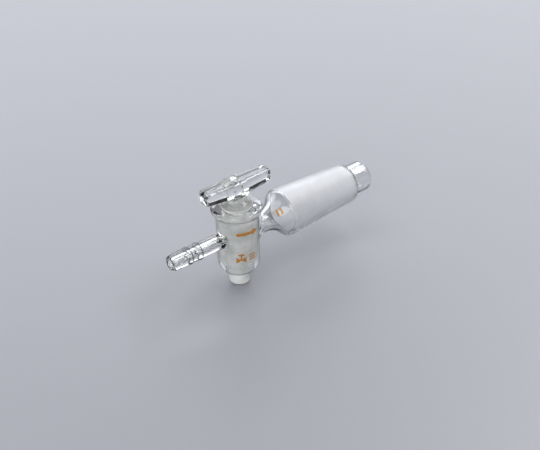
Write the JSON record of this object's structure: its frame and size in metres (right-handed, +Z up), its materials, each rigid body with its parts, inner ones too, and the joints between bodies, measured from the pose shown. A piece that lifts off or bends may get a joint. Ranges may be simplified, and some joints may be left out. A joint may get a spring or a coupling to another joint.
{
  "type": "glass stopcock",
  "caption": "Clear glass stopcock: a solid ground plug with a T-handle turns in a barrel to open or shut the passage from a ridged hose nozzle to a ground male joint.",
  "frame": {"origin": "middle of the ground cone's large end, on the passage's axis", "axes": "+X along the passage, out of the ground joint; +Z up, as the plug's axis runs towards the handle"},
  "size_m": [0.1191, 0.0246, 0.0562],
  "materials": {
    "body_glass": "clear and fire-polished, with the joint's cone and the plug's socket ground matt",
    "plug_glass": "clear pressed handle and stem, with the cone ground matt",
    "enamel": "fired orange-brown enamel, thin and slightly glossy"
  },
  "bodies": {
    "barrel": {"stopcock_body": "body_glass"},
    "plug": {"plug": "plug_glass"}
  },
  "joints": [
    {"name": "plug_turn", "type": "hinge", "parent": "barrel", "child": "plug", "pos_m": [-0.02755, 0, 0], "axis": [0, 0, 1], "continuous": true}
  ]
}
